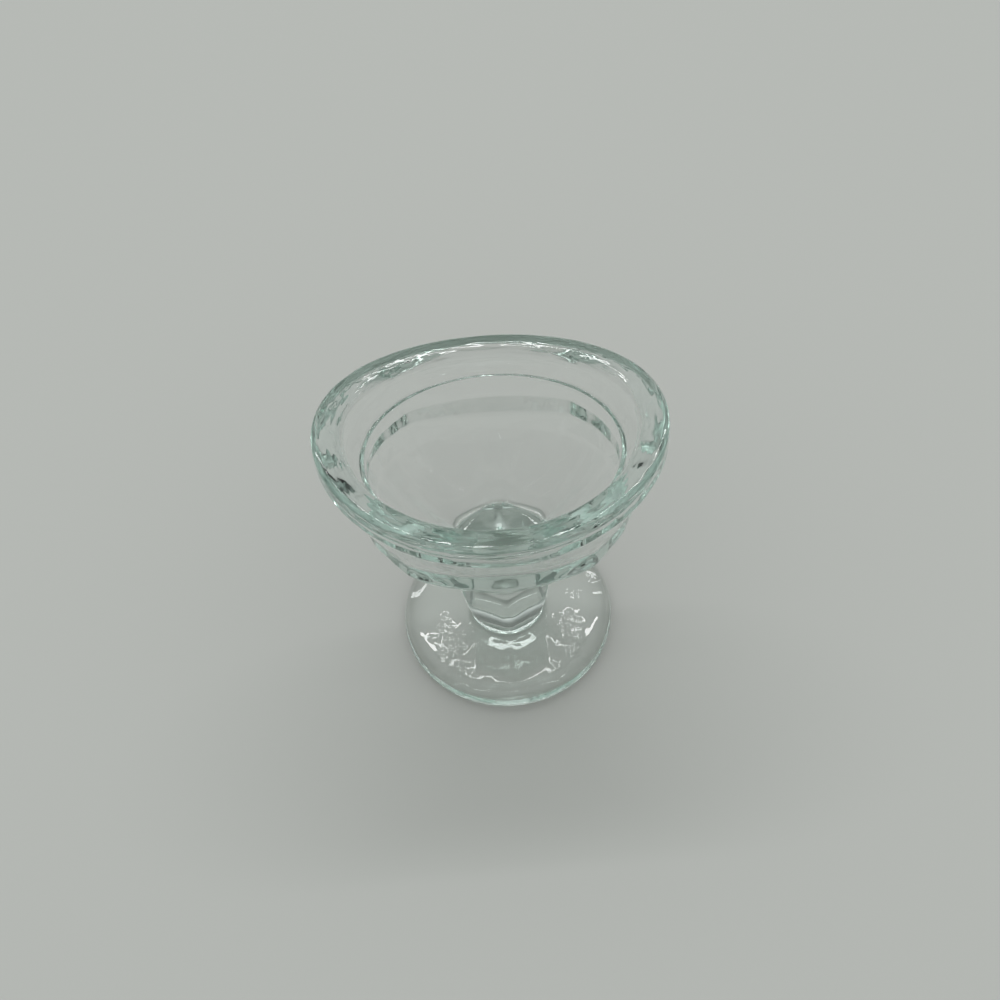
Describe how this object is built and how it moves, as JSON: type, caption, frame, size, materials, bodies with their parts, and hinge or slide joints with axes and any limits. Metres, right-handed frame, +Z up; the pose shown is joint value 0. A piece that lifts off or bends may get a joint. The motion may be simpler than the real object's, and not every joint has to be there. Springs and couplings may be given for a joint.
{
  "type": "eye bath",
  "caption": "Pressed glass eye bath: an oval cup with a thick rolled rim that rises at both ends and a faceted collar, on a hexagonal stem and a round foot.",
  "frame": {"origin": "middle of the foot's base, on the plane that the foot stands on", "axes": "+Z up along the stem; +X along the cup's long axis towards its lower end; -Y towards the front, where a corner of the stem points"},
  "size_m": [0.0502, 0.038, 0.055],
  "materials": {
    "clear_glass": "clear pressed glass with a faint green cast, fire-polished, slightly wavy"
  },
  "bodies": {
    "root": {"rim": "clear_glass", "bowl": "clear_glass", "stem": "clear_glass", "foot": "clear_glass"}
  },
  "joints": []
}
